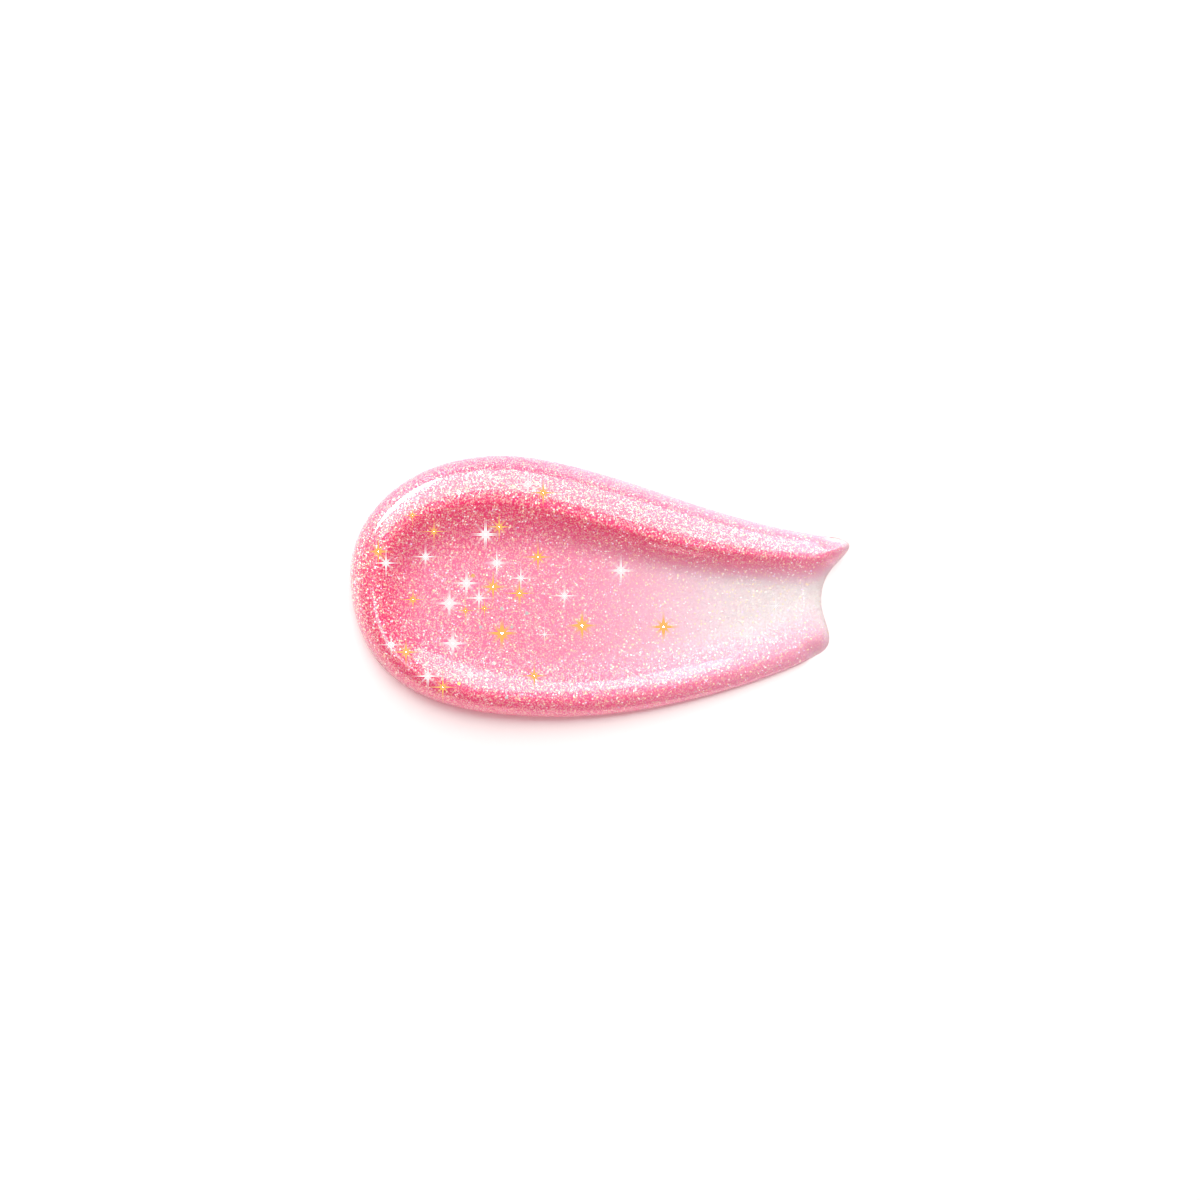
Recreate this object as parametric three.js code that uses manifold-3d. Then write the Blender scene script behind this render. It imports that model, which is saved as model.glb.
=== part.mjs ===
// A smear of glitter lip gloss: one bead of thick gel, pulled from a round head at -X to a
// thin torn tail at +X, with hexagonal glitter flakes seated in pockets in its skin.
//
// Millimetres, +Z up. The smear lies on z = 0 with its length along X. The origin is at the
// middle of its bounding box, on the flat underside. +Y is the side of the broad ridge.

import * as THREE from "three";
import { ParametricGeometry } from "three/addons/geometries/ParametricGeometry.js";
import { mergeGeometries, mergeVertices } from "three/addons/utils/BufferGeometryUtils.js";
import Module from "manifold-3d";

const { lerp, smoothstep, degToRad } = THREE.MathUtils;
const wasm = await Module();
wasm.setup();

// ---- Driving dimensions ----

// The outline, clockwise. heading is the direction of travel in degrees; before and after
// are the lengths of the curve's handles on each side of the anchor.
const headTip = { x: -20.0, y: 0.6, heading: 92, before: 9.8, after: 5.1 };
const shoulder = { x: -7.2, y: 10.4, heading: -2, before: 8.2, after: 3.1 };
const upperFlank = { x: 4.8, y: 7.4, heading: -19, before: 4.3, after: 4.7 };
const upperTail = { x: 18.5, y: 3.9, heading: -6, before: 4.5, after: 0.8 };
const tearTip = { x: 19.9, y: 3.1, heading: -107, before: 0.4, after: 0.9 };
const tearWaist = { x: 17.7, y: -0.5, heading: -98, before: 2.0, after: 1.7 };
const tearFoot = { x: 18.3, y: -4.2, heading: -90, before: 1.1, after: 0.9 };
const lowerTail = { x: 17.2, y: -5.6, heading: -151, before: 0.4, after: 3.2 };
const belly = { x: -3.3, y: -10.5, heading: 180, before: 8.5, after: 8.0 };

// The ridge that runs round the smear, at seven even stations from the upper tail, over the
// head, to the lower tail: how far in from the edge its crest is, how high the crest is, and
// how far in its inner slope ends on the floor of the trough. bevel is the power that shapes
// its outer side: 0.5 is a full round edge, and 1 a wedge.
const RIDGE = [
  { crestIn: 1.7, crestHeight: 1.1, footIn: 4.2, bevel: 0.8 },
  { crestIn: 3.6, crestHeight: 2.4, footIn: 6.4, bevel: 0.8 },
  { crestIn: 3.5, crestHeight: 2.9, footIn: 8.2, bevel: 0.5 },
  { crestIn: 2.2, crestHeight: 2.6, footIn: 6.2, bevel: 0.5 },
  { crestIn: 1.6, crestHeight: 2.2, footIn: 5.4, bevel: 0.5 },
  { crestIn: 1.4, crestHeight: 1.35, footIn: 5.2, bevel: 0.5 },
  { crestIn: 1.2, crestHeight: 0.6, footIn: 5.0, bevel: 0.5 },
];

// The outer side's curve is not quite a circle's, so that the crest is a soft corner, and the
// inner slope is steepest near the crest.
const CREST_POWER = 1.6;
const SLOPE_SKEW = 0.7;

// The floor of the trough: a pool in the head that thins to a film at the tear.
const POOL_DEPTH = 1.2;
const FILM_DEPTH = 0.12;
const POOL_END_X = -12;
const FILM_START_X = 14;
const TEAR_FEATHER = 1.6;

// How far the rim runs on past the tail for measuring, and the power that keeps the plan's
// bend towards the tear to the last stretch.
const PAST_TAIL = 4;
const BEND_POWER = 8;

// Glitter: hexagonal platelets, flush with the gel, laid to its slope over a small step.
const FLAKE_THICKNESS = 0.06;
const FLAKE_PROUD = 0.02;
const POCKET_CLEARANCE = 0.03;
const POCKET_REACH = 0.6;
const SLOPE_STEP = 0.05;

// The large flakes, as places on the smear: x, y and width across the flats.
const SILVER_FLAKES = [
  [-9.6, 9.0, 0.3], [-5.8, 8.1, 0.45], [-9.2, 4.1, 0.5], [-14.0, 2.3, 0.4], [-17.1, 1.8, 0.45],
  [-8.3, 1.8, 0.45], [-6.4, 0.6, 0.4], [-10.7, 0.2, 0.45], [-12.1, -1.4, 0.5], [-9.7, -1.0, 0.4],
  [-2.9, -0.8, 0.4], [1.6, 1.2, 0.45], [-5.9, -2.2, 0.3], [-7.9, -1.8, 0.25], [-9.6, -3.3, 0.25],
  [-7.1, -3.3, 0.25], [-4.5, -3.9, 0.25], [-11.8, -4.6, 0.45], [-8.5, -6.2, 0.3], [-10.4, -7.1, 0.4],
  [-16.7, -4.7, 0.4], [-13.8, -7.2, 0.4], [-7.5, -8.9, 0.25], [-11.3, 7.4, 0.3], [14.0, -1.6, 0.4],
  [11.7, -4.0, 0.4],
];
const GOLD_FLAKES = [
  [-4.6, 7.4, 0.4], [-15.0, 5.6, 0.3], [-13.3, 4.3, 0.4], [-8.1, 4.7, 0.4], [-17.7, 2.7, 0.4],
  [-5.0, 2.3, 0.4], [-10.2, 0.8, 0.3], [-8.6, -0.1, 0.45], [-6.5, -0.6, 0.4], [-15.0, -1.1, 0.4],
  [-10.8, -2.0, 0.3], [-9.3, -1.8, 0.3], [-7.9, -3.8, 0.5], [-1.5, -3.2, 0.5], [-15.5, -5.3, 0.4],
  [-5.3, -7.2, 0.4], [-12.6, -8.1, 0.4], [-11.3, -7.8, 0.25], [5.0, -3.3, 0.45],
];

// Mesh steps: along the smear, where a power closes them up at the tear, across it, and along
// the rim for distances. Points closer than MERGE_WITHIN are one.
const STEPS_ALONG = 84;
const CLOSING_POWER = 1.6;
const STEPS_ACROSS = 34;
const RIM_STEPS = 120;
const TEAR_STEPS = 40;
const MERGE_WITHIN = 1e-4;

const GEL = new THREE.MeshStandardMaterial({ color: "#f27aa2", roughness: 0.12, metalness: 0 });
const SILVER = new THREE.MeshStandardMaterial({ color: "#fff4f2", roughness: 0.2, metalness: 0.9 });
const GOLD = new THREE.MeshStandardMaterial({ color: "#ffc46a", roughness: 0.2, metalness: 0.9 });

// ---- Outline ----

// The point a handle's length away from an anchor, along its heading.
function handle(anchor, length) {
  const turn = degToRad(anchor.heading);
  return new THREE.Vector2(anchor.x + length * Math.cos(turn), anchor.y + length * Math.sin(turn));
}

// One smooth path through the anchors, read by its arc length.
function chain(...anchors) {
  const path = new THREE.CurvePath();
  for (let i = 1; i < anchors.length; i += 1) {
    const [from, to] = [anchors[i - 1], anchors[i]];
    const curve = new THREE.CubicBezierCurve(
      handle(from, 0), handle(from, from.after), handle(to, -to.before), handle(to, 0));
    path.add(curve);
  }
  return path;
}

const upperEdge = chain(headTip, shoulder, upperFlank, upperTail);
const tearEdge = chain(upperTail, tearTip, tearWaist, tearFoot, lowerTail);
const lowerEdge = chain(lowerTail, belly, headTip);

// Places along a path, with how far along it they are, from 0 to 1.
function stations(path, steps) {
  return Array.from({ length: steps + 1 }, (_, i) => ({ at: path.getPoint(i / steps), along: i / steps }));
}

// The rim runs from the upper tail, over the head, to the lower tail, and on past both ends,
// so that the tear doesn't bend the ridges.
function rimStations() {
  const share = upperEdge.getLength() / (upperEdge.getLength() + lowerEdge.getLength());
  const upper = stations(upperEdge, RIM_STEPS)
    .reverse()
    .map(({ at, along }) => ({ at, along: (1 - along) * share }));
  const lower = stations(lowerEdge, RIM_STEPS)
    .reverse()
    .slice(1)
    .map(({ at, along }) => ({ at, along: share + (1 - along) * (1 - share) }));
  return [
    { at: handle(upperTail, PAST_TAIL), along: 0 },
    ...upper,
    ...lower,
    { at: handle(lowerTail, -PAST_TAIL), along: 1 },
  ];
}

const rim = rimStations();
const tear = stations(tearEdge, TEAR_STEPS);

// The nearest place to a point on a polyline of stations.
function nearest(point, line) {
  let found = { distance: Infinity, along: 0 };
  const run = new THREE.Vector2();
  for (let i = 1; i < line.length; i += 1) {
    const [from, to] = [line[i - 1], line[i]];
    run.copy(to.at).sub(from.at);
    const dx = point.x - from.at.x;
    const dy = point.y - from.at.y;
    const share = THREE.MathUtils.clamp((dx * run.x + dy * run.y) / run.lengthSq(), 0, 1);
    const distance = Math.hypot(dx - share * run.x, dy - share * run.y);
    if (distance < found.distance) found = { distance, along: lerp(from.along, to.along, share) };
  }
  return found;
}

// ---- Height of the gel ----

// One of the ridge's sizes as a smooth run through the stations, read from 0 to 1 along it.
function alongRidge(size) {
  const values = RIDGE.map((station) => new THREE.Vector3(station[size], 0, 0));
  const curve = new THREE.CatmullRomCurve3(values, false, "catmullrom");
  return (along) => curve.getPoint(along).x;
}

const crestInAt = alongRidge("crestIn");
const crestHeightAt = alongRidge("crestHeight");
const footInAt = alongRidge("footIn");
const bevelAt = alongRidge("bevel");

// A parabola from 0 at 0 to 1 at 1, level from there on.
function feather(share) {
  return 1 - (1 - Math.min(share, 1)) ** 2;
}

function floorDepth(x) {
  return lerp(POOL_DEPTH, FILM_DEPTH, smoothstep(x, POOL_END_X, FILM_START_X));
}

// The ridge's outer side: 0 at the edge, and its full height at the crest.
function outerSide(share, height, bevel) {
  return height * (1 - (1 - share) ** CREST_POWER) ** bevel;
}

// The ridge's inner side: from the crest at 0, down to the floor at 1.
function innerSide(share, height, floor) {
  return lerp(height, floor, smoothstep(share ** SLOPE_SKEW, 0, 1));
}

// The height of the gel over a point of the plan.
function heightAt(point) {
  const { distance, along } = nearest(point, rim);
  const crestIn = crestInAt(along);
  const crestHeight = crestHeightAt(along);
  const past = Math.min((distance - crestIn) / (footInAt(along) - crestIn), 1);
  const height =
    past < 0
      ? outerSide(distance / crestIn, crestHeight, bevelAt(along))
      : innerSide(past, crestHeight, floorDepth(point.x));
  return height * feather(nearest(point, tear).distance / TEAR_FEATHER);
}

// ---- Gel ----

// The plan as a patch between the two long edges: 0 to 1 along it from the head tip to the
// tear, and 0 to 1 across it from the lower edge to the upper. The last stretch bends to the tear.
function planPoint(along, across) {
  const chord = lowerEdge.getPoint(1 - along).lerp(upperEdge.getPoint(along), across);
  const end = lowerEdge.getPoint(0).lerp(upperEdge.getPoint(1), across);
  const bend = tearEdge.getPoint(1 - across).sub(end);
  return chord.addScaledVector(bend, along ** BEND_POWER);
}

// Steps that close up at the tear, and towards both long edges.
const alongAt = (share) => 1 - (1 - share) ** CLOSING_POWER;
const acrossAt = (share) => (1 - Math.cos(Math.PI * share)) / 2;

function gelTop() {
  return new ParametricGeometry(
    (u, v, target) => {
      const point = planPoint(alongAt(u), acrossAt(v));
      const onEdge = u === 0 || u === 1 || v === 0 || v === 1;
      target.set(point.x, point.y, onEdge ? 0 : heightAt(point));
    },
    STEPS_ALONG,
    STEPS_ACROSS,
  );
}

// The flat underside, through the same edge points as the top.
function gelUnderside() {
  const rising = (steps) => Array.from({ length: steps }, (_, i) => i / steps);
  const falling = (steps) => Array.from({ length: steps }, (_, i) => (steps - i) / steps);
  const outline = [
    ...rising(STEPS_ALONG).map((share) => planPoint(alongAt(share), 1)),
    ...falling(STEPS_ACROSS).map((share) => planPoint(1, acrossAt(share))),
    ...falling(STEPS_ALONG).map((share) => planPoint(alongAt(share), 0)),
  ];
  const face = new THREE.ShapeGeometry(new THREE.Shape(outline));
  face.index.array.reverse();
  return face;
}

// A closed geometry as a solid, and back.
function solidOf(geometry) {
  const bare = new THREE.BufferGeometry().setAttribute("position", geometry.getAttribute("position"));
  const merged = mergeVertices(bare.setIndex(geometry.index), MERGE_WITHIN);
  const triangles = [];
  for (let i = 0; i < merged.index.count; i += 3) {
    const [a, b, c] = merged.index.array.slice(i, i + 3);
    if (a !== b && b !== c && c !== a) triangles.push(a, b, c);
  }
  return new wasm.Manifold(
    new wasm.Mesh({
      numProp: 3,
      vertProperties: merged.getAttribute("position").array,
      triVerts: new Uint32Array(triangles),
    }),
  );
}

function geometryOf(solid) {
  const { vertProperties, triVerts } = solid.getMesh();
  const geometry = new THREE.BufferGeometry();
  geometry.setAttribute("position", new THREE.BufferAttribute(new Float32Array(vertProperties), 3));
  geometry.setIndex(new THREE.BufferAttribute(new Uint32Array(triVerts), 1));
  geometry.computeVertexNormals();
  return geometry;
}

// ---- Flakes ----

// Where a flake's upper face sits on the gel: its middle, and the turn that lays it flat on
// the skin. The golden angle spins each flake its own way.
function seat([x, y], number) {
  const step = SLOPE_STEP;
  const rise = (dx, dy) => heightAt({ x: x + dx, y: y + dy });
  const normal = new THREE.Vector3(
    (rise(-step, 0) - rise(step, 0)) / (2 * step),
    (rise(0, -step) - rise(0, step)) / (2 * step),
    1,
  ).normalize();
  const goldenAngle = Math.PI * (3 - Math.sqrt(5));
  const up = new THREE.Vector3(0, 0, 1);
  const turn = new THREE.Quaternion()
    .setFromUnitVectors(up, normal)
    .multiply(new THREE.Quaternion().setFromAxisAngle(up, number * goldenAngle));
  const middle = new THREE.Vector3(x, y, rise(0, 0)).addScaledVector(normal, FLAKE_PROUD);
  return { middle, turn };
}

// A hexagonal platelet between two heights on its own axis.
function platelet(across, low, high) {
  const radius = across / Math.sqrt(3);
  return new THREE.CylinderGeometry(radius, radius, high - low, 6)
    .rotateX(Math.PI / 2)
    .translate(0, 0, (low + high) / 2);
}

function flake(place, number, name, material) {
  const { middle, turn } = seat(place, number);
  const mesh = new THREE.Mesh(platelet(place[2], -FLAKE_THICKNESS, 0), material);
  mesh.position.copy(middle);
  mesh.quaternion.copy(turn);
  mesh.name = name;
  return mesh;
}

// The room that a flake takes from the gel, open at the skin.
function pocket(place, number) {
  const { middle, turn } = seat(place, number);
  const room = platelet(
    place[2] + 2 * POCKET_CLEARANCE, -FLAKE_THICKNESS - POCKET_CLEARANCE, POCKET_REACH);
  return solidOf(room.applyQuaternion(turn).translate(middle.x, middle.y, middle.z));
}

// ---- Assembly ----

const places = [...SILVER_FLAKES, ...GOLD_FLAKES];
const whole = solidOf(mergeGeometries([gelTop(), gelUnderside()]));
const pocketed = places.reduce((solid, place, i) => solid.subtract(pocket(place, i)), whole);

const gel = new THREE.Mesh(geometryOf(pocketed), GEL);
gel.name = "gloss_gel";

const twoDigits = (number) => String(number).padStart(2, "0");
const flakes = places.map((place, i) => {
  const gold = i >= SILVER_FLAKES.length;
  const count = gold ? i - SILVER_FLAKES.length + 1 : i + 1;
  const name = `${gold ? "gold" : "silver"}_flake_${twoDigits(count)}`;
  return flake(place, i, name, gold ? GOLD : SILVER);
});

const smear = new THREE.Group();
smear.add(gel, ...flakes);
const extent = new THREE.Box3().setFromObject(gel);
smear.position.set(-(extent.min.x + extent.max.x) / 2, -(extent.min.y + extent.max.y) / 2, 0);

export default smear;
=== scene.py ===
"""The looks of a smear of shimmer lip gloss that lies on a white table.

The gel is one surface over a plan patch. Its height comes from how far a point is from the rim
and from how far along the rim it is. Fine shimmer platelets lie in its skin, and the large
flakes are the CAD model's own pieces, dressed as metallised film. Lengths are in millimetres
until a mesh is written, in metres.
"""

import logging
import math
from dataclasses import dataclass
from enum import Enum
from typing import Any

import bpy
import numpy as np
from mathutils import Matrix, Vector


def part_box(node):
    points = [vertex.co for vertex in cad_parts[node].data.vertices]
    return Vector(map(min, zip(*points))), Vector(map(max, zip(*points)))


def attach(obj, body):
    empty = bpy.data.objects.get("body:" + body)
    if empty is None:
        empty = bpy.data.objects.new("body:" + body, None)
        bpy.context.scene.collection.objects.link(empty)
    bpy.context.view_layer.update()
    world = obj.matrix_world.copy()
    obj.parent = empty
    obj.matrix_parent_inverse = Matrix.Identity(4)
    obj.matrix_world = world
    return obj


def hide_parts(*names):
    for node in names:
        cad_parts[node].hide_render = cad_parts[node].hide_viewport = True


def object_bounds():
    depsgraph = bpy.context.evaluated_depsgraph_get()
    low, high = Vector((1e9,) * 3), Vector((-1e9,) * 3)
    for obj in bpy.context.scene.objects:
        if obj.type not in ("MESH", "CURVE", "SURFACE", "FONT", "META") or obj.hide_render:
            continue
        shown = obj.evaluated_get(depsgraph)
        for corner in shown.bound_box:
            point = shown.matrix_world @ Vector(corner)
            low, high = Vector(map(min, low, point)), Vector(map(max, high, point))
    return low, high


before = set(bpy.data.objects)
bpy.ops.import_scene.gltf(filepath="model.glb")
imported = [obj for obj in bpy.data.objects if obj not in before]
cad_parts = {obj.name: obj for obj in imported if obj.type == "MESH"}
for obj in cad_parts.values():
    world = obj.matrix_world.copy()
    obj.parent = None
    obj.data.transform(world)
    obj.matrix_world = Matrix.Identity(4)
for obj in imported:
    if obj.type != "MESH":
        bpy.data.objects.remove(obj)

MM = 0.001
BODY = "root"
CAD_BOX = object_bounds()

Colour = tuple[float, float, float, float]
BLACK = (0.0, 0.0, 0.0, 1.0)
WHITE = (1.0, 1.0, 1.0)
CREAM = (1.0, 0.95, 0.84)
IVORY = (1.0, 0.98, 0.94)
ROSE = (1.0, 0.58, 0.66)

log = logging.getLogger("lip_gloss_smear")


class Film(Enum):
    """The films that glitter is cut from."""

    SILVER = "silver_glitter"
    GOLD = "gold_glitter"


class PanelShape(Enum):
    """The shapes of a softbox's front."""

    OBLONG = "RECTANGLE"
    OVAL = "ELLIPSE"


class Reach(Enum):
    """What a softbox lights: what the gloss mirrors, or the matte colours."""

    GLOSS = "gloss"
    MATTE = "matte"


# ---- Shape of the gel ----


@dataclass(frozen=True)
class Anchor:
    """A place on the outline, with the curve's heading there and its handles' lengths.

    The heading is in degrees, counted from +X towards +Y.
    """

    x: float
    y: float
    heading: float
    before: float
    after: float

    def handle(self, length: float) -> np.ndarray:
        """The point that lies a length away along the heading."""
        turn = math.radians(self.heading)
        return np.array([self.x + length * math.cos(turn), self.y + length * math.sin(turn)])


@dataclass(frozen=True)
class Edge:
    """A smooth path through anchors, as cubic Bezier curves read by arc length.

    points_per_curve is how many points stand for each curve when its length is measured.
    """

    anchors: tuple[Anchor, ...]
    points_per_curve: int = 400

    def polyline(self) -> np.ndarray:
        """Points close together along the whole path.

        Each curve is the cubic Bezier sum (1-t)^3 A + 3 t (1-t)^2 B + 3 t^2 (1-t) C + t^3 D,
        where B and C are the handles of the anchors A and D.

        Returns:
            An array of points, one row each.
        """
        t = np.linspace(0.0, 1.0, self.points_per_curve)[:, None]
        runs = []
        for start, end in zip(self.anchors[:-1], self.anchors[1:]):
            runs.append(
                (1 - t) ** 3 * start.handle(0)
                + 3 * t * (1 - t) ** 2 * start.handle(start.after)
                + 3 * t**2 * (1 - t) * end.handle(-end.before)
                + t**3 * end.handle(0)
            )
        return np.concatenate(runs)

    def length(self) -> float:
        """The path's length."""
        return float(np.linalg.norm(np.diff(self.polyline(), axis=0), axis=1).sum())

    def at(self, share: np.ndarray) -> np.ndarray:
        """Places along the path, by their share of its length.

        Args:
            share: shares from 0, at the first anchor, to 1, at the last.

        Returns:
            An array of points with the shape of share and one more axis for x and y.
        """
        points = self.polyline()
        steps = np.linalg.norm(np.diff(points, axis=0), axis=1)
        travelled = np.concatenate([[0.0], np.cumsum(steps)])
        travelled /= travelled[-1]
        return np.stack([np.interp(share, travelled, points[:, axis]) for axis in (0, 1)], axis=-1)


def feather(share: np.ndarray) -> np.ndarray:
    """A parabola's height, 1 - (1-s)^2: 0 at 0, then 1 and level from 1 on."""
    return 1 - (1 - np.clip(share, 0, 1)) ** 2


def smooth_step(value: np.ndarray, start: np.ndarray | float, end: np.ndarray | float) -> np.ndarray:
    """Rises from 0 at start to 1 at end as 3 t^2 - 2 t^3, level at both."""
    t = np.clip((value - start) / (end - start), 0, 1)
    return t * t * (3 - 2 * t)


def nearest(points: np.ndarray, line: np.ndarray, along: np.ndarray) -> tuple[np.ndarray, np.ndarray]:
    """How far points are from a polyline, and where along it they are nearest.

    Args:
        points: plan points, one row each.
        line: the polyline's corners.
        along: how far along the line each corner is.

    Returns:
        The distances, and the place along the line for each point.
    """
    distance = np.full(len(points), np.inf)
    place = np.zeros(len(points))
    for start, end, first, last in zip(line[:-1], line[1:], along[:-1], along[1:]):
        run = end - start
        share = np.clip((points - start) @ run / (run @ run), 0, 1)
        gap = np.linalg.norm(points - start - share[:, None] * run, axis=1)
        closer = gap < distance
        distance = np.where(closer, gap, distance)
        place = np.where(closer, first + share * (last - first), place)
    return distance, place


@dataclass(frozen=True)
class RidgeStation:
    """The ridge's section at one place along the rim.

    crest_in and foot_in are how far in from the edge the crest is and the inner slope ends.
    bevel is the power that shapes the outer side: 0.5 is a full round edge, 1 a wedge.
    """

    crest_in: float
    crest_height: float
    foot_in: float
    bevel: float


@dataclass
class GelSurface:
    """The smear's plan and height: a rim with a ridge round it, a pool, and a thin torn tail.

    The anchors go clockwise from the head. ridge holds the ridge's section at even stations from
    the upper tail, over the head, to the lower tail. The trough's floor falls from pool_depth at
    pool_end_x to film_depth at film_start_x, and the tear rounds off over tear_feather.
    past_tail is how far the rim runs on past the tail for measuring, bend_power keeps the plan's
    bend to its last stretch, crest_power shapes the crest, and slope_skew steepens the inner
    slope near it.
    """

    head_tip: Anchor = Anchor(-20.0, 0.6, 92, 9.8, 5.1)
    shoulder: Anchor = Anchor(-7.2, 10.4, -2, 8.2, 3.1)
    upper_flank: Anchor = Anchor(4.8, 7.4, -19, 4.3, 4.7)
    upper_tail: Anchor = Anchor(18.5, 3.9, -6, 4.5, 0.8)
    tear_tip: Anchor = Anchor(19.9, 3.1, -107, 0.4, 0.9)
    tear_waist: Anchor = Anchor(17.7, -0.5, -98, 2.0, 1.7)
    tear_foot: Anchor = Anchor(18.3, -4.2, -90, 1.1, 0.9)
    lower_tail: Anchor = Anchor(17.2, -5.6, -151, 0.4, 3.2)
    belly: Anchor = Anchor(-3.3, -10.5, 180, 8.5, 8.0)
    ridge: tuple[RidgeStation, ...] = (
        RidgeStation(1.7, 1.1, 4.2, 0.8),
        RidgeStation(3.6, 2.4, 6.4, 0.8),
        RidgeStation(3.5, 2.9, 8.2, 0.5),
        RidgeStation(2.2, 2.6, 6.2, 0.5),
        RidgeStation(1.6, 2.2, 5.4, 0.5),
        RidgeStation(1.4, 1.35, 5.2, 0.5),
        RidgeStation(1.2, 0.6, 5.0, 0.5),
    )
    pool_depth: float = 1.2
    film_depth: float = 0.12
    pool_end_x: float = -12.0
    film_start_x: float = 14.0
    tear_feather: float = 1.6
    rim_steps: int = 400
    tear_steps: int = 120
    past_tail: float = 4.0
    bend_power: int = 8
    crest_power: float = 1.6
    slope_skew: float = 0.7

    def __post_init__(self) -> None:
        """Lays out the edges, the rim and the tear."""
        self.upper_edge = Edge((self.head_tip, self.shoulder, self.upper_flank, self.upper_tail))
        self.tear_edge = Edge(
            (self.upper_tail, self.tear_tip, self.tear_waist, self.tear_foot, self.lower_tail)
        )
        self.lower_edge = Edge((self.lower_tail, self.belly, self.head_tip))
        share = np.linspace(0.0, 1.0, self.rim_steps)
        upper, lower = self.upper_edge.length(), self.lower_edge.length()
        split = upper / (upper + lower)
        past_upper = self.upper_tail.handle(self.past_tail)[None]
        past_lower = self.lower_tail.handle(-self.past_tail)[None]
        self.rim = np.concatenate(
            [past_upper, self.upper_edge.at(1 - share), self.lower_edge.at(1 - share)[1:], past_lower]
        )
        self.rim_along = np.concatenate([[0.0], share * split, split + share[1:] * (1 - split), [1.0]])
        self.tear_along = np.linspace(0.0, 1.0, self.tear_steps)
        self.tear = self.tear_edge.at(self.tear_along)

    def centre(self) -> np.ndarray:
        """The middle of the outline's bounding rectangle."""
        outline = np.concatenate([self.rim[1:-1], self.tear])
        return (outline.min(axis=0) + outline.max(axis=0)) / 2

    def plan(self, along: np.ndarray, across: np.ndarray) -> np.ndarray:
        """Plan points of the patch between the two long edges.

        A point lies on the chord between the edges, and the last stretch bends to the tear by
        the gap between the tear and the end chord, times along to a high power.

        Args:
            along: 0 at the head tip to 1 at the tear.
            across: 0 at the lower edge to 1 at the upper.

        Returns:
            Points, with one more axis for x and y.
        """
        mix = across[..., None]
        chord = (1 - mix) * self.lower_edge.at(1 - along) + mix * self.upper_edge.at(along)
        end = (1 - mix) * self.lower_tail.handle(0) + mix * self.upper_tail.handle(0)
        bend = self.tear_edge.at(1 - across) - end
        return chord + bend * along[..., None] ** self.bend_power

    def section(self, along: np.ndarray) -> tuple[np.ndarray, ...]:
        """The ridge's section at places along the rim, by Catmull-Rom splines.

        Args:
            along: places from 0 to 1.

        Returns:
            How far in the crest is, how high it is, how far in the foot is, and the bevel.
        """
        knots = np.array([[s.crest_in, s.crest_height, s.foot_in, s.bevel] for s in self.ridge])
        knots = np.concatenate([[2 * knots[0] - knots[1]], knots, [2 * knots[-1] - knots[-2]]])
        spans = len(self.ridge) - 1
        place = np.clip(along, 0, 1) * spans
        span = np.minimum(place.astype(int), spans - 1)
        t = (place - span)[:, None]
        before, start, end, after = (knots[span + step] for step in range(4))
        leave = (end - before) / 2
        arrive = (after - start) / 2
        value = (
            start
            + leave * t
            + (3 * (end - start) - 2 * leave - arrive) * t**2
            + (2 * (start - end) + leave + arrive) * t**3
        )
        return tuple(value.T)

    def height(self, points: np.ndarray) -> np.ndarray:
        """The gel's height over plan points.

        From the edge to the crest it is a quarter ellipse, then a smooth fall to the floor of
        the trough, which itself falls from the pool's depth to the film's. The tear rounds it off.

        Args:
            points: plan points, one row each.

        Returns:
            The height at each point.
        """
        distance, along = nearest(points, self.rim, self.rim_along)
        crest_in, crest_height, foot_in, bevel = self.section(along)
        thin = smooth_step(points[:, 0], self.pool_end_x, self.film_start_x)
        floor = self.pool_depth + (self.film_depth - self.pool_depth) * thin
        outwards = np.clip(1 - distance / crest_in, 0, 1)
        outer = crest_height * (1 - outwards**self.crest_power) ** bevel
        inwards = np.clip((distance - crest_in) / (foot_in - crest_in), 0, 1)
        fall = smooth_step(inwards**self.slope_skew, 0, 1)
        inner = crest_height + (floor - crest_height) * fall
        tear_gap = nearest(points, self.tear, self.tear_along)[0]
        return np.where(distance < crest_in, outer, inner) * feather(tear_gap / self.tear_feather)

    def normal(self, points: np.ndarray, step: float = 0.05) -> np.ndarray:
        """The skin's upward normals over plan points, by central differences.

        Args:
            points: plan points, one row each.
            step: how far to each side the height is read.

        Returns:
            Unit normals, one row each.
        """
        east = np.array([step, 0.0])
        north = np.array([0.0, step])
        slope_x = (self.height(points + east) - self.height(points - east)) / (2 * step)
        slope_y = (self.height(points + north) - self.height(points - north)) / (2 * step)
        normal = np.stack([-slope_x, -slope_y, np.ones(len(points))], axis=1)
        return normal / np.linalg.norm(normal, axis=1, keepdims=True)


# ---- Meshes ----


def to_frame(surface: GelSurface) -> np.ndarray:
    """The shift from the surface's own plan to the frame.

    Args:
        surface: the gel's surface.

    Returns:
        The shift along x and y, in millimetres.
    """
    low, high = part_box("gloss_gel")
    middle = (Vector(low) + Vector(high)) / 2 / MM
    return np.array([middle.x, middle.y]) - surface.centre()


def add_piece(name: str, points: np.ndarray, faces: list[tuple[int, ...]], smooth: bool) -> bpy.types.Object:
    """Makes a mesh object that rides on the part's body.

    Args:
        name: the piece's name.
        points: its vertices in millimetres, one row each.
        faces: its faces, as vertex numbers.
        smooth: whether its faces shade smoothly.

    Returns:
        The new object.
    """
    mesh = bpy.data.meshes.new(name)
    mesh.from_pydata((points * MM).tolist(), [], faces)
    mesh.polygons.foreach_set("use_smooth", np.full(len(mesh.polygons), smooth))
    mesh.validate()
    piece = bpy.data.objects.new(name, mesh)
    bpy.context.scene.collection.objects.link(piece)
    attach(piece, BODY)
    return piece


# ---- Node helpers ----


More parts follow.
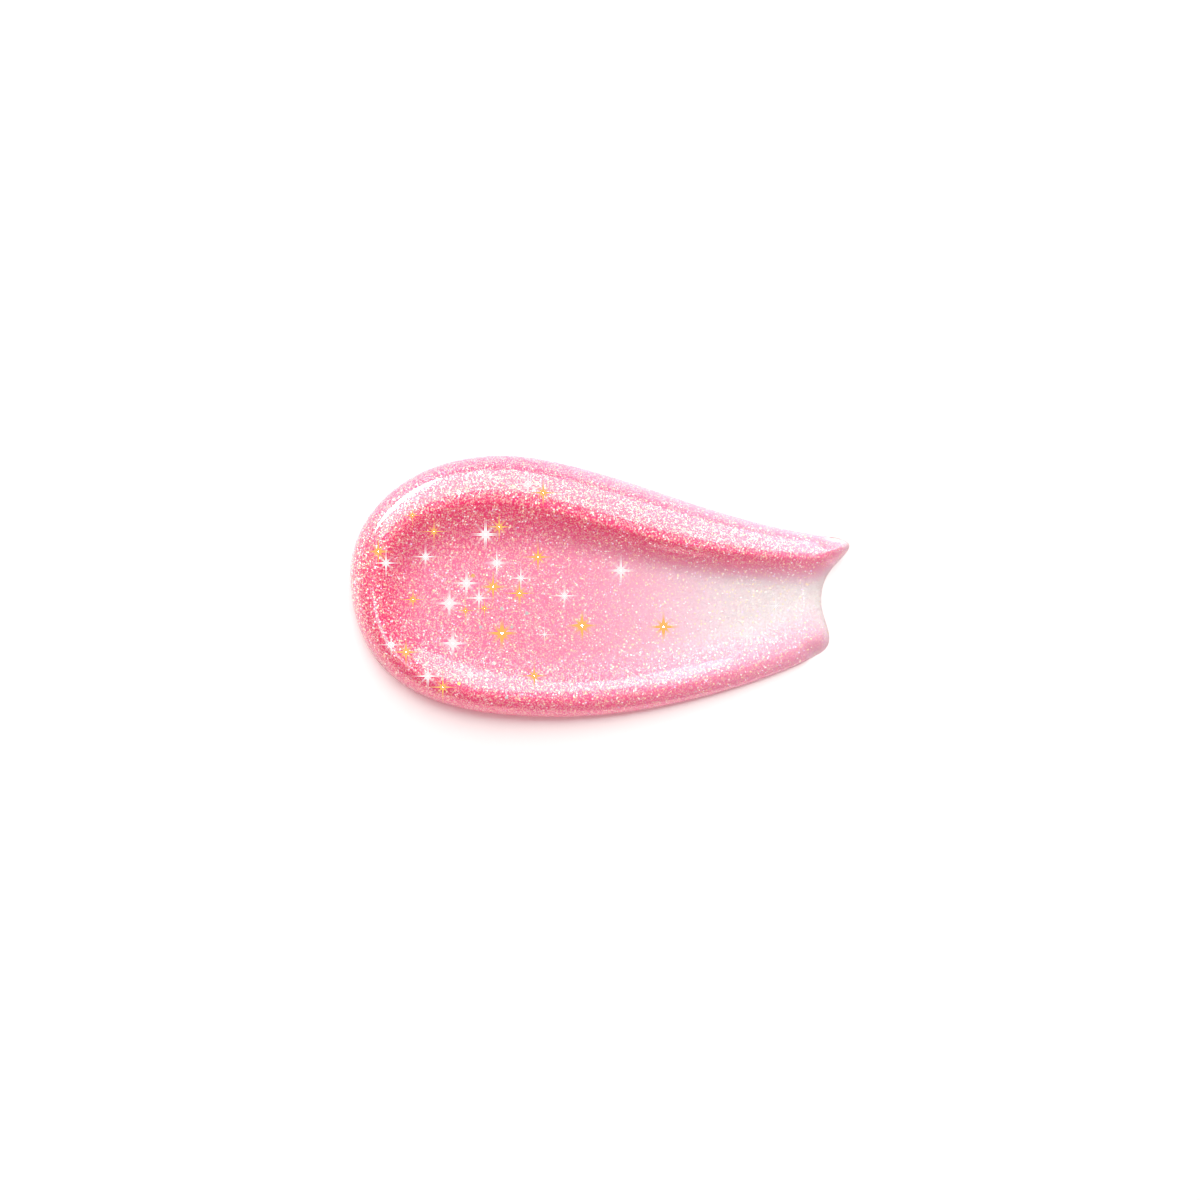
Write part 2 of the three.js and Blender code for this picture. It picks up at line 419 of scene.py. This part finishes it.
@dataclass
class NodeSheet:
    """Adds nodes to a tree, left to right, and links them."""

    tree: bpy.types.NodeTree
    column: int = 0
    spacing: int = 190

    def add(self, kind: str, settings: dict[str, Any] | None = None, **inputs: Any) -> bpy.types.Node:
        """Adds a node, sets it and fills its sockets.

        Args:
            kind: the node type's identifier.
            settings: attributes of the node, such as its operation.
            **inputs: sockets by name, with _ for a space, or by number as i0, i1 and so on. A
                value that is a socket is linked, and any other is set.

        Returns:
            The node.
        """
        node = self.tree.nodes.new(kind)
        node.location = (self.column * self.spacing, 0)
        self.column += 1
        for name, value in (settings or {}).items():
            setattr(node, name, value)
        for name, value in inputs.items():
            numbered = name[0] == "i" and name[1:].isdigit()
            socket = node.inputs[int(name[1:])] if numbered else node.inputs[name.replace("_", " ")]
            if isinstance(value, bpy.types.NodeSocket):
                self.tree.links.new(value, socket)
            else:
                socket.default_value = value
        return node

    def math(self, operation: str, *values: Any) -> bpy.types.NodeSocket:
        """A Math node's result from one to three values or sockets."""
        inputs = {f"i{number}": value for number, value in enumerate(values)}
        return self.add("ShaderNodeMath", {"operation": operation}, **inputs).outputs[0]

    def vector(self, operation: str, *values: Any) -> bpy.types.NodeSocket:
        """A Vector Math node's vector from vectors or sockets."""
        inputs = {f"i{number}": value for number, value in enumerate(values)}
        return self.add("ShaderNodeVectorMath", {"operation": operation}, **inputs).outputs[0]

    def mix_colour(self, share: Any, first: Any, second: Any) -> bpy.types.NodeSocket:
        """Mixes two colours by a share from 0 to 1."""
        node = self.add("ShaderNodeMix", {"data_type": "RGBA"}, i0=share, i6=first, i7=second)
        return node.outputs[2]

    def ramp(self, share: Any, stops: tuple[tuple[float, Colour], ...]) -> bpy.types.NodeSocket:
        """A colour ramp in steps, where each colour holds until the next stop.

        Args:
            share: where to read it, from 0 to 1.
            stops: places and their colours.

        Returns:
            The colour socket.
        """
        node = self.add("ShaderNodeValToRGB", Fac=share)
        node.color_ramp.interpolation = "CONSTANT"
        elements = node.color_ramp.elements
        while len(elements) < len(stops):
            elements.new(1.0)
        for element, (place, colour) in zip(elements, stops):
            element.position = place
            element.color = colour
        return node.outputs[0]


def new_material(name: str) -> tuple[bpy.types.Material, NodeSheet, bpy.types.Node]:
    """An empty node material with a Principled BSDF on its output.

    Args:
        name: the material's name.

    Returns:
        The material, a sheet on its tree, and the Principled BSDF.
    """
    material = bpy.data.materials.new(name)
    material.use_nodes = True
    material.node_tree.nodes.clear()
    sheet = NodeSheet(material.node_tree)
    shader = sheet.add("ShaderNodeBsdfPrincipled")
    sheet.add("ShaderNodeOutputMaterial", Surface=shader.outputs[0])
    return material, sheet, shader


class ShimmerGroup:
    """The node group for fine shimmer: facets of random tilt and strength, scattered in a gel."""

    NAME = "fine_shimmer"
    INPUTS = ("Pitch", "Coverage", "Tilt")
    OUTPUTS = (("Facet", "NodeSocketFloat"), ("Colour", "NodeSocketColor"), ("Normal", "NodeSocketVector"))
    HUES = (
        (0.0, (1.0, 0.9, 0.76, 1.0)),
        (0.4, (1.0, 0.8, 0.52, 1.0)),
        (0.75, (1.0, 0.68, 0.68, 1.0)),
        (0.94, (0.93, 0.72, 1.0, 1.0)),
    )
    FAINTEST = 0.25
    FALL = 1.5

    def __init__(self) -> None:
        """Builds the group."""
        self.tree = bpy.data.node_groups.new(self.NAME, "ShaderNodeTree")
        for name in self.INPUTS:
            self.tree.interface.new_socket(name, in_out="INPUT", socket_type="NodeSocketFloat")
        for name, kind in self.OUTPUTS:
            self.tree.interface.new_socket(name, in_out="OUTPUT", socket_type=kind)
        self._fill()

    def _fill(self) -> None:
        """Adds the nodes.

        Voronoi cells, Pitch millimetres across, are the facets. A cell is a flake where its
        random value is under Coverage. It shows by a random strength to the power FALL, from
        the faintest to 1, and it turns the normal by up to Tilt.
        """
        sheet = NodeSheet(self.tree)
        given = sheet.add("NodeGroupInput").outputs
        place = sheet.add("ShaderNodeTexCoord").outputs["Object"]
        scale = sheet.math("DIVIDE", 1 / MM, given["Pitch"])
        cell = sheet.add("ShaderNodeTexVoronoi", Vector=place, Scale=scale)
        chance = sheet.add("ShaderNodeTexWhiteNoise", Vector=cell.outputs["Position"])
        flake = sheet.math("LESS_THAN", chance.outputs["Value"], given["Coverage"])
        parts = sheet.add("ShaderNodeSeparateColor", Color=cell.outputs["Color"]).outputs
        colour = sheet.ramp(parts[0], self.HUES)
        fallen = sheet.math("POWER", parts[1], self.FALL)
        strength = sheet.math("MULTIPLY_ADD", fallen, 1 - self.FAINTEST, self.FAINTEST)
        facet = sheet.math("MULTIPLY", flake, strength)
        lean = sheet.vector("SUBTRACT", chance.outputs["Color"], (0.5, 0.5, 0.5))
        turn = sheet.add("ShaderNodeVectorMath", {"operation": "SCALE"}, Vector=lean, Scale=given["Tilt"])
        skin = sheet.add("ShaderNodeNewGeometry").outputs["Normal"]
        normal = sheet.vector("NORMALIZE", sheet.vector("ADD", skin, turn.outputs[0]))
        sheet.add("NodeGroupOutput", Facet=facet, Colour=colour, Normal=normal)

    def place(self, sheet: NodeSheet, **values: Any) -> bpy.types.Node:
        """Adds the group to a material, with its inputs by name."""
        return sheet.add("ShaderNodeGroup", {"node_tree": self.tree}, **values)


# ---- Finishes ----


@dataclass(frozen=True)
class GelFinish:
    """Tinted clear gel full of shimmer, under a wet skin.

    through_one_mm is the share of red, green and blue light that a millimetre of gel lets
    through, and deepest is the colour of gel without end, which its shimmer scatters back.
    full_shimmer_depth is how deep the gel has to be to show all of its shimmer. The facets' glow is a
    painted glint in their own colour, which shows them bright in shade too.
    """

    through_one_mm: tuple[float, float, float] = (0.99, 0.25, 0.36)
    deepest: tuple[float, float, float] = (0.97, 0.04, 0.17)
    shimmer_pitch: float = 0.085
    shimmer_coverage: float = 0.42
    shimmer_tilt: float = 0.4
    full_shimmer_depth: float = 1.1
    facet_cover: float = 0.75
    facet_metal: float = 0.2
    painted_facet_glow: float = 0.12
    ior: float = 1.55
    roughness: float = 0.3
    wet_roughness: float = 0.03
    wet_ior: float = 1.7
    scatter: float = 0.35
    scatter_reach: tuple[float, float, float] = (1.0, 0.3, 0.4)
    scatter_scale: float = 1.2
    gloss_tint: Colour = (1.0, 0.94, 0.86, 1.0)
    shadow_tint: Colour = (0.4, 0.0, 0.05, 1.0)

    def build(self, shimmer: ShimmerGroup) -> bpy.types.Material:
        """Makes the material.

        The gel's own colour follows its depth: each channel goes from white to the deepest
        colour as the light that one millimetre lets through, to the power of the depth in
        millimetres.

        Args:
            shimmer: the shared shimmer group.

        Returns:
            The material.
        """
        material, sheet, shader = new_material("shimmer_gel")
        depth = sheet.add("ShaderNodeAttribute", {"attribute_name": "gel_depth"}).outputs["Fac"]
        channels = [
            sheet.math("MULTIPLY_ADD", sheet.math("POWER", share, depth), 1 - floor, floor)
            for share, floor in zip(self.through_one_mm, self.deepest)
        ]
        gel = sheet.add("ShaderNodeCombineColor", i0=channels[0], i1=channels[1], i2=channels[2]).outputs[0]
        fullness = sheet.math("MINIMUM", sheet.math("DIVIDE", depth, self.full_shimmer_depth), 1.0)
        coverage = sheet.math("MULTIPLY", fullness, self.shimmer_coverage)
        facets = shimmer.place(
            sheet, Pitch=self.shimmer_pitch, Coverage=coverage, Tilt=self.shimmer_tilt
        ).outputs
        shown = sheet.math("MULTIPLY", facets["Facet"], self.facet_cover)
        colour = sheet.mix_colour(shown, gel, facets["Colour"])
        metal = sheet.math("MULTIPLY", facets["Facet"], self.facet_metal)
        # Painted glint: the facets give off light in their own colour, so they shine whatever light falls on
        # them.
        painted_glint = sheet.mix_colour(facets["Facet"], BLACK, facets["Colour"])
        sheet.tree.links.new(colour, shader.inputs["Base Color"])
        sheet.tree.links.new(metal, shader.inputs["Metallic"])
        sheet.tree.links.new(painted_glint, shader.inputs["Emission Color"])
        sheet.tree.links.new(facets["Normal"], shader.inputs["Normal"])
        settings = {
            "IOR": self.ior,
            "Roughness": self.roughness,
            "Specular Tint": self.gloss_tint,
            "Emission Strength": self.painted_facet_glow,
            "Coat Weight": 1.0,
            "Coat Roughness": self.wet_roughness,
            "Coat IOR": self.wet_ior,
            "Subsurface Weight": self.scatter,
            "Subsurface Radius": self.scatter_reach,
            "Subsurface Scale": self.scatter_scale * MM,
        }
        for name, value in settings.items():
            shader.inputs[name].default_value = value
        self._tint_shadow(sheet, shader)
        return material

    def _tint_shadow(self, sheet: NodeSheet, shader: bpy.types.Node) -> None:
        """Lets pink light through to the table, so that the shadow is pink.

        Args:
            sheet: the gel material's sheet.
            shader: the gel's own shader, which every ray but a shadow ray sees.
        """
        shadow = sheet.add("ShaderNodeLightPath").outputs["Is Shadow Ray"]
        clear = sheet.add("ShaderNodeBsdfTransparent", Color=self.shadow_tint).outputs[0]
        both = sheet.add("ShaderNodeMixShader", i0=shadow, i1=shader.outputs[0], i2=clear)
        output = sheet.tree.get_output_node("ALL")
        sheet.tree.links.new(both.outputs[0], output.inputs["Surface"])


@dataclass(frozen=True)
class FilmFinish:
    """Metallised film that glitter is cut from, with a slight sheen of another hue.

    metal is how far it mirrors, and the glow is how much light it gives, though it is no lamp: a painted
    glint.
    """

    name: str
    colour: Colour
    sheen: Colour
    painted_glow: float
    metal: float = 1.0
    roughness: float = 0.25
    ripple_pitch: float = 0.25
    ripple_height: float = 0.02
    ripple_strength: float = 0.3

    def build(self) -> bpy.types.Material:
        """Makes the material, whose hue and surface drift with noise.

        Returns:
            The material.
        """
        material, sheet, shader = new_material(self.name)
        place = sheet.add("ShaderNodeTexCoord").outputs["Object"]
        scale = 1 / (self.ripple_pitch * MM)
        drift = sheet.add("ShaderNodeTexNoise", Vector=place, Scale=scale).outputs["Fac"]
        colour = sheet.mix_colour(drift, self.colour, self.sheen)
        height = self.ripple_height * MM
        ripple = sheet.add("ShaderNodeBump", Height=drift, Strength=self.ripple_strength, Distance=height)
        sheet.tree.links.new(colour, shader.inputs["Base Color"])
        # Painted glint: the film's colour is also its glow, so it shines whatever the lamps do.
        sheet.tree.links.new(colour, shader.inputs["Emission Color"])
        sheet.tree.links.new(ripple.outputs[0], shader.inputs["Normal"])
        shader.inputs["Emission Strength"].default_value = self.painted_glow
        shader.inputs["Metallic"].default_value = self.metal
        shader.inputs["Roughness"].default_value = self.roughness
        return material


# ---- Sub-assemblies ----


@dataclass
class GlossGel:
    """The gel body: its skin over the plan patch, and its flat underside.

    closing is the power that closes the grid up at the tear, and corner is the angle from which
    an edge shades as sharp. rim_depth is how far in the colour reads the depth at the rim, and
    spine is the stretch of the X axis that inwards points to.
    """

    surface: GelSurface
    steps_along: int = 380
    steps_across: int = 150
    closing: float = 1.6
    corner: float = 50.0
    rim_depth: float = 0.5
    spine: tuple[float, float] = (-10.0, 14.0)

    def build(self) -> bpy.types.Object:
        """Makes the gel.

        The skin is a grid over the plan, close-set at the tear and at both long edges. The
        underside is one flat face round the grid's own edge. Both ends of the grid's first
        column meet at the head tip, so that column is one point.

        Returns:
            The gel's object.
        """
        share_along = np.linspace(0.0, 1.0, self.steps_along + 1)[1:]
        share_across = np.linspace(0.0, 1.0, self.steps_across + 1)
        along = 1 - (1 - share_along) ** self.closing
        across = (1 - np.cos(np.pi * share_across)) / 2
        grid_along, grid_across = np.meshgrid(along, across, indexing="ij")
        plan = self.surface.plan(grid_along, grid_across)
        height = self.surface.height(plan.reshape(-1, 2)).reshape(grid_along.shape)
        height[:, 0] = 0.0
        height[:, -1] = 0.0
        height[-1, :] = 0.0
        shift = to_frame(self.surface)
        skin = np.concatenate([plan + shift, height[..., None]], axis=-1).reshape(-1, 3)
        tip = np.append(self.surface.head_tip.handle(0) + shift, 0.0)
        points = np.concatenate([skin, tip[None]])
        gel = add_piece("pink_gel", points, self._faces(len(points) - 1), smooth=True)
        gel.data.set_sharp_from_angle(angle=math.radians(self.corner))
        self._write_depth(gel, plan.reshape(-1, 2), height.reshape(-1))
        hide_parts("gloss_gel")
        return gel

    def _faces(self, tip: int) -> list[tuple[int, ...]]:
        """The grid's quads, the fan at the head tip, and the underside.

        Args:
            tip: the head tip's vertex number.

        Returns:
            The faces, all turned outwards.
        """
        columns = self.steps_along
        rows = self.steps_across + 1
        number = np.arange(columns * rows).reshape(columns, rows)
        corners = [number[:-1, :-1], number[1:, :-1], number[1:, 1:], number[:-1, 1:]]
        quads = np.stack(corners, axis=-1).reshape(-1, 4).tolist()
        fan = [(tip, int(low), int(high)) for low, high in zip(number[0, :-1], number[0, 1:])]
        lower, tear, upper = number[:, 0], number[-1, 1:-1], number[::-1, -1]
        under = [tip, *upper[::-1].tolist(), *tear[::-1].tolist(), *lower[::-1].tolist()]
        return [tuple(quad) for quad in quads] + fan + [tuple(under)]

    def _write_depth(self, gel: bpy.types.Object, plan: np.ndarray, height: np.ndarray) -> None:
        """Stores how deep the gel is under each vertex, as the colour sees it.

        At the rim it is the depth a little way in, because light crosses the bead sideways. The
        tip is as deep as its neighbour, the first vertex.

        Args:
            gel: the gel's object, whose last vertex is the tip.
            plan: the plan points of its other vertices.
            height: the skin's height at each of them.
        """
        inside = self.surface.height(plan + self._inward(plan) * self.rim_depth)
        depth = np.maximum(height, inside)
        depth = np.append(depth, depth[0])
        layer = gel.data.attributes.new("gel_depth", "FLOAT", "POINT")
        layer.data.foreach_set("value", depth.astype(np.float32))

    def _inward(self, plan: np.ndarray) -> np.ndarray:
        """Unit steps from plan points towards the smear's spine, a stretch of the X axis.

        Args:
            plan: plan points, one row each.

        Returns:
            The steps, one row each.
        """
        spine = np.stack([np.clip(plan[:, 0], *self.spine), np.zeros(len(plan))], axis=1)
        step = spine - plan
        length = np.linalg.norm(step, axis=1, keepdims=True)
        return step / np.maximum(length, np.finfo(float).eps)


@dataclass(frozen=True)
class FineGlitter:
    """Small hexagonal platelets of one film that lie in the skin, as one piece.

    smallest and largest are widths across the flats. proud is how far the upper face stands
    above the skin, lean is how far the platelets lean at random, and margin is the share of the
    plan that stays clear at each edge.
    """

    name: str
    count: int
    film: Film
    finish: FilmFinish
    seed: int
    smallest: float = 0.08
    largest: float = 0.15
    thickness: float = 0.02
    proud: float = 0.01
    lean: float = 0.15
    margin: float = 0.03
    corners: int = 6

    def build(self, surface: GelSurface) -> bpy.types.Object:
        """Makes the platelets.

        Each is a hexagonal prism, turned so that its axis is the skin's normal plus a random
        lean, and set with its upper face a little proud of the skin. No vertex stands higher
        than the CAD model's box.

        Args:
            surface: the gel's surface.

        Returns:
            The piece.
        """
        chance = np.random.default_rng(self.seed)
        along, across = chance.uniform(self.margin, 1 - self.margin, (2, self.count))
        plan = surface.plan(along, across)
        axis = surface.normal(plan) + self.lean * chance.normal(size=(self.count, 3))
        axis /= np.linalg.norm(axis, axis=1, keepdims=True)
        first = np.cross(chance.normal(size=(self.count, 3)), axis)
        first /= np.linalg.norm(first, axis=1, keepdims=True)
        second = np.cross(axis, first)
        middle = np.column_stack([plan + to_frame(surface), surface.height(plan) + self.proud])
        radius = chance.uniform(self.smallest, self.largest, (self.count, 1, 1)) / math.sqrt(3)
        turn = (np.arange(self.corners) * math.tau / self.corners)[None, :, None]
        ring = radius * (np.cos(turn) * first[:, None] + np.sin(turn) * second[:, None])
        top = middle[:, None] + ring
        points = np.concatenate([top, top - self.thickness * axis[:, None]], axis=1).reshape(-1, 3)
        points[:, 2] = np.minimum(points[:, 2], CAD_BOX[1][2] / MM)
        piece = add_piece(self.name, points, self._faces(), smooth=False)
        piece.data.materials.append(self.finish.build())
        return piece

    def _faces(self) -> list[tuple[int, ...]]:
        """The faces of all the prisms, each with its upper ring of vertices first.

        Returns:
            The upper and lower faces of every prism, then their walls.
        """
        ring = np.arange(self.corners)
        following = np.roll(ring, -1)
        plates = np.stack([ring, ring[::-1] + self.corners])
        walls = np.stack([ring, ring + self.corners, following + self.corners, following], axis=1)
        first = 2 * self.corners * np.arange(self.count)[:, None, None]
        plate_faces = (plates + first).reshape(-1, self.corners).tolist()
        return plate_faces + (walls + first).reshape(-1, 4).tolist()


@dataclass(frozen=True)
class LargeFlakes:
    """The large flakes of one film, which are the CAD model's own pieces."""

    prefix: str
    finish: FilmFinish

    def dress(self) -> int:
        """Gives each flake its finish.

        Returns:
            How many flakes there are.
        """
        material = self.finish.build()
        flakes = [node for name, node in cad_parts.items() if name.startswith(self.prefix)]
        for flake in flakes:
            flake.data.materials.clear()
            flake.data.materials.append(material)
        return len(flakes)


# ---- Studio ----


@dataclass(frozen=True)
class Softbox:
    """A flat light a metre off, aimed at the smear.

    azimuth is counted from +X towards +Y, and zenith from straight up. radiance is what a
    mirror would show of it.
    """

    name: str
    azimuth: float
    zenith: float
    width: float
    height: float
    radiance: float
    reach: Reach
    shape: PanelShape = PanelShape.OBLONG
    hue: tuple[float, float, float] = WHITE
    distance: float = 1.0

    def build(self) -> bpy.types.Object:
        """Makes the light. Its power is pi times its area times its radiance.

        Returns:
            The light's object.
        """
        data = bpy.data.lights.new(self.name, "AREA")
        data.shape = self.shape.value
        data.size = self.width
        data.size_y = self.height
        area = self.width * self.height * (math.pi / 4 if self.shape is PanelShape.OVAL else 1)
        data.energy = math.pi * area * self.radiance
        data.color = self.hue
        light = bpy.data.objects.new(self.name, data)
        azimuth, zenith = math.radians(self.azimuth), math.radians(self.zenith)
        flat = Vector((math.cos(azimuth), math.sin(azimuth), 0.0))
        away = flat * math.sin(zenith) + Vector((0, 0, math.cos(zenith)))
        light.location = away * self.distance
        light.rotation_mode = "QUATERNION"
        light.rotation_quaternion = away.to_track_quat("Z", "Y")
        light.visible_diffuse = self.reach is Reach.MATTE
        light.visible_glossy = self.reach is Reach.GLOSS
        bpy.context.scene.collection.objects.link(light)
        return light


@dataclass
class Studio:
    """The table, the lights and the camera.

    Each light gives its azimuth, zenith, width, height, radiance and reach. The key has one panel
    for the matte colours and, a little nearer so that it isn't hidden, one for the gloss.
    """

    lights: tuple[Softbox, ...] = (
        Softbox("key_panel", 101, 49, 1.4, 0.85, 5.3, Reach.MATTE, hue=IVORY),
        Softbox("key_shine", 101, 54, 1.7, 0.8, 3.4, Reach.GLOSS, hue=CREAM, distance=0.98),
        Softbox("fill_card", 288, 64, 1.5, 0.9, 1.7, Reach.MATTE, hue=ROSE),
        Softbox("rim_strip", 130, 77, 0.75, 0.22, 18, Reach.GLOSS, PanelShape.OVAL),
        Softbox("side_strip", 214, 36, 0.6, 0.45, 4.0, Reach.GLOSS, PanelShape.OVAL),
    )
    table_size: float = 4.0
    table_shade: float = 0.97
    table_roughness: float = 0.9
    grain: float = 0.02
    grain_scale: float = 900.0
    grain_detail: float = 3.0
    room_light: float = 0.11
    view_width: float = 96.0
    view_middle: tuple[float, float] = (0.0, -1.1)
    lens: float = 200.0
    sensor: float = 36.0
    clip: tuple[float, float] = (0.01, 10.0)

    def build(self) -> None:
        """Makes everything round the object."""
        self._table()
        for light in self.lights:
            light.build()
        self._room()
        self._camera()
        bpy.context.scene.view_settings.view_transform = "Standard"

    def _table(self) -> None:
        """A flat white table, under the smear."""
        half = self.table_size / 2
        mesh = bpy.data.meshes.new("table")
        corners = [(-half, -half, 0), (half, -half, 0), (half, half, 0), (-half, half, 0)]
        mesh.from_pydata(corners, [], [(0, 1, 2, 3)])
        table = bpy.data.objects.new("table", mesh)
        bpy.context.scene.collection.objects.link(table)
        material, sheet, shader = new_material("white_card")
        place = sheet.add("ShaderNodeTexCoord").outputs["Object"]
        grain = sheet.add(
            "ShaderNodeTexNoise", Vector=place, Scale=self.grain_scale, Detail=self.grain_detail
        )
        shade = (self.table_shade,) * 3 + (1.0,)
        lighter = (self.table_shade + self.grain,) * 3 + (1.0,)
        colour = sheet.mix_colour(grain.outputs["Fac"], shade, lighter)
        sheet.tree.links.new(colour, shader.inputs["Base Color"])
        shader.inputs["Roughness"].default_value = self.table_roughness
        shader.inputs["Specular IOR Level"].default_value = 0.0
        mesh.materials.append(material)

    def _room(self) -> None:
        """A dim room for the reflections, which shows white behind the table."""
        world = bpy.data.worlds.new("room")
        bpy.context.scene.world = world
        world.use_nodes = True
        world.node_tree.nodes.clear()
        sheet = NodeSheet(world.node_tree)
        seen = sheet.add("ShaderNodeLightPath").outputs["Is Camera Ray"]
        dim = sheet.add("ShaderNodeBackground", Color=(1, 1, 1, 1), Strength=self.room_light)
        white = sheet.add("ShaderNodeBackground", Color=(1, 1, 1, 1), Strength=1.0)
        both = sheet.add("ShaderNodeMixShader", i0=seen, i1=dim.outputs[0], i2=white.outputs[0])
        sheet.add("ShaderNodeOutputWorld", Surface=both.outputs[0])

    def _camera(self) -> None:
        """A long lens straight above the smear, with +X to the right."""
        data = bpy.data.cameras.new("camera")
        data.lens = self.lens
        data.sensor_width = self.sensor
        data.clip_start, data.clip_end = self.clip
        camera = bpy.data.objects.new("camera", data)
        distance = self.view_width * self.lens / self.sensor
        camera.location = (self.view_middle[0] * MM, self.view_middle[1] * MM, distance * MM)
        bpy.context.scene.collection.objects.link(camera)
        bpy.context.scene.camera = camera


@dataclass(frozen=True)
class StarRays:
    """Four rays of a star: where the first one points, how far they carry and how bright."""

    turn: float
    fade: float
    strength: float


@dataclass(frozen=True)
class StarGlare:
    """The lens's star round each glint, made in the compositor from what the flakes give off.

    Only the heart of a flake, trim in from its edge, makes a star. gain is how much brighter
    the star's source is than the flake, and the core is a painted highlight laid on the heart itself.
    The stars grow from the flakes' painted glow, so they are painted glints.
    """

    rays: tuple[StarRays, ...] = (
        StarRays(turn=0, fade=0.8, strength=1.0),
        StarRays(turn=45, fade=0.7, strength=0.8),
    )
    trim: int = 1
    least: float = 0.3
    gain: float = 35.0
    painted_core: float = 2.0
    iterations: int = 2

    def build(self) -> None:
        """Adds the stars to the picture.

        The stars' own red channel says how much of the picture they cover, so that a gold star
        stays gold over pink gel.
        """
        scene = bpy.context.scene
        bpy.context.view_layer.use_pass_emit = True
        scene.use_nodes = True
        scene.node_tree.nodes.clear()
        sheet = NodeSheet(scene.node_tree)
        passes = sheet.add("CompositorNodeRLayers").outputs
        shade = sheet.add("CompositorNodeRGBToBW", Image=passes["Emit"]).outputs[0]
        heart = sheet.add("CompositorNodeDilateErode", {"mode": "STEP"}, Mask=shade, Size=-self.trim)
        glowing_hearts = self._math(sheet, "GREATER_THAN", heart.outputs[0], self.least)
        painted_glint = self._mix(sheet, "MULTIPLY", passes["Emit"], glowing_hearts)
        bright = self._mix(sheet, "MULTIPLY", painted_glint, (self.gain, self.gain, self.gain, 1.0))
        # Painted star rays, drawn from the flakes' painted glow.
        stars = painted_glint
        for four in self.rays:
            stars = self._mix(sheet, "ADD", stars, self._star(sheet, bright, four))
        red = sheet.add("CompositorNodeSeparateColor", Image=stars).outputs["Red"]
        hue = self._mix(sheet, "DIVIDE", stars, red)
        cover = self._math(sheet, "MINIMUM", red, 1.0)
        picture = self._mix(sheet, "MIX", passes["Image"], hue, cover)
        # Painted highlight: a white core laid over each glowing heart.
        painted_core = self._math(sheet, "MULTIPLY", glowing_hearts, self.painted_core)
        sheet.add("CompositorNodeComposite", Image=self._mix(sheet, "ADD", picture, painted_core))

    def _star(self, sheet: NodeSheet, source: bpy.types.NodeSocket, four: StarRays) -> bpy.types.NodeSocket:
        """Four rays from each bright point of a picture.

        Args:
            sheet: the compositor's sheet.
            source: the picture's socket.
            four: the rays' turn, fade and strength.

        Returns:
            The socket of a picture of the rays alone.
        """
        rays = sheet.add(
            "CompositorNodeGlare",
            {"glare_type": "STREAKS", "quality": "HIGH"},
            Image=source,
            Threshold=0.0,
            Strength=four.strength,
            Streaks=4,
            Streaks_Angle=math.radians(four.turn),
            Iterations=self.iterations,
            Fade=four.fade,
            Color_Modulation=0.0,
        )
        return rays.outputs["Glare"]

    def _math(self, sheet: NodeSheet, operation: str, first: Any, second: Any) -> bpy.types.NodeSocket:
        """A compositor Math node's result."""
        return sheet.add("CompositorNodeMath", {"operation": operation}, i0=first, i1=second).outputs[0]

    def _mix(
        self, sheet: NodeSheet, blend: str, first: Any, second: Any, share: Any = 1.0
    ) -> bpy.types.NodeSocket:
        """Blends two pictures, the second one by a share."""
        node = sheet.add("CompositorNodeMixRGB", {"blend_type": blend}, i0=share, i1=first, i2=second)
        return node.outputs[0]


def speck_film(name: str, colour: Colour, sheen: Colour) -> FilmFinish:
    """The finish of fine platelets, which mirror less and glow less than the large flakes."""
    # The glow is a painted glint, weaker than the large flakes'.
    return FilmFinish(name, colour, sheen, painted_glow=0.25, metal=0.2)


def main() -> None:
    """Builds the pieces in order, dresses them and sets up the studio."""
    logging.basicConfig(level=logging.INFO, format="%(name)s: %(message)s")
    surface = GelSurface()
    gel = GlossGel(surface).build()
    gel.data.materials.append(GelFinish().build(ShimmerGroup()))
    log.info("%s: %d faces", gel.name, len(gel.data.polygons))
    # Both films glow as painted glints, the gold one more strongly.
    silver = FilmFinish("silver_film", (1.0, 0.95, 0.94, 1), (1.0, 0.88, 0.9, 1), painted_glow=0.5)
    gold = FilmFinish("gold_film", (1.0, 0.48, 0.12, 1), (1.0, 0.58, 0.2, 1), painted_glow=0.7)
    for flakes in (LargeFlakes("silver_flake", silver), LargeFlakes("gold_flake", gold)):
        log.info("%s: %d flakes", flakes.prefix, flakes.dress())
    pale = speck_film("pale_speck", (1, 0.92, 0.86, 1), (1, 0.86, 0.88, 1))
    honey = speck_film("honey_speck", (1, 0.78, 0.5, 1), (1, 0.88, 0.66, 1))
    lilac = speck_film("lilac_speck", (0.95, 0.7, 1, 1), (1, 0.85, 1, 1))
    for glitter in (
        FineGlitter("silver_shimmer", 1300, Film.SILVER, pale, seed=7),
        FineGlitter("gold_shimmer", 1000, Film.GOLD, honey, seed=8),
        FineGlitter("lilac_shimmer", 250, Film.SILVER, lilac, seed=9),
    ):
        glitter.build(surface)
        log.info("%s: %d platelets", glitter.name, glitter.count)
    Studio().build()
    StarGlare().build()


if __name__ == "__main__":
    main()
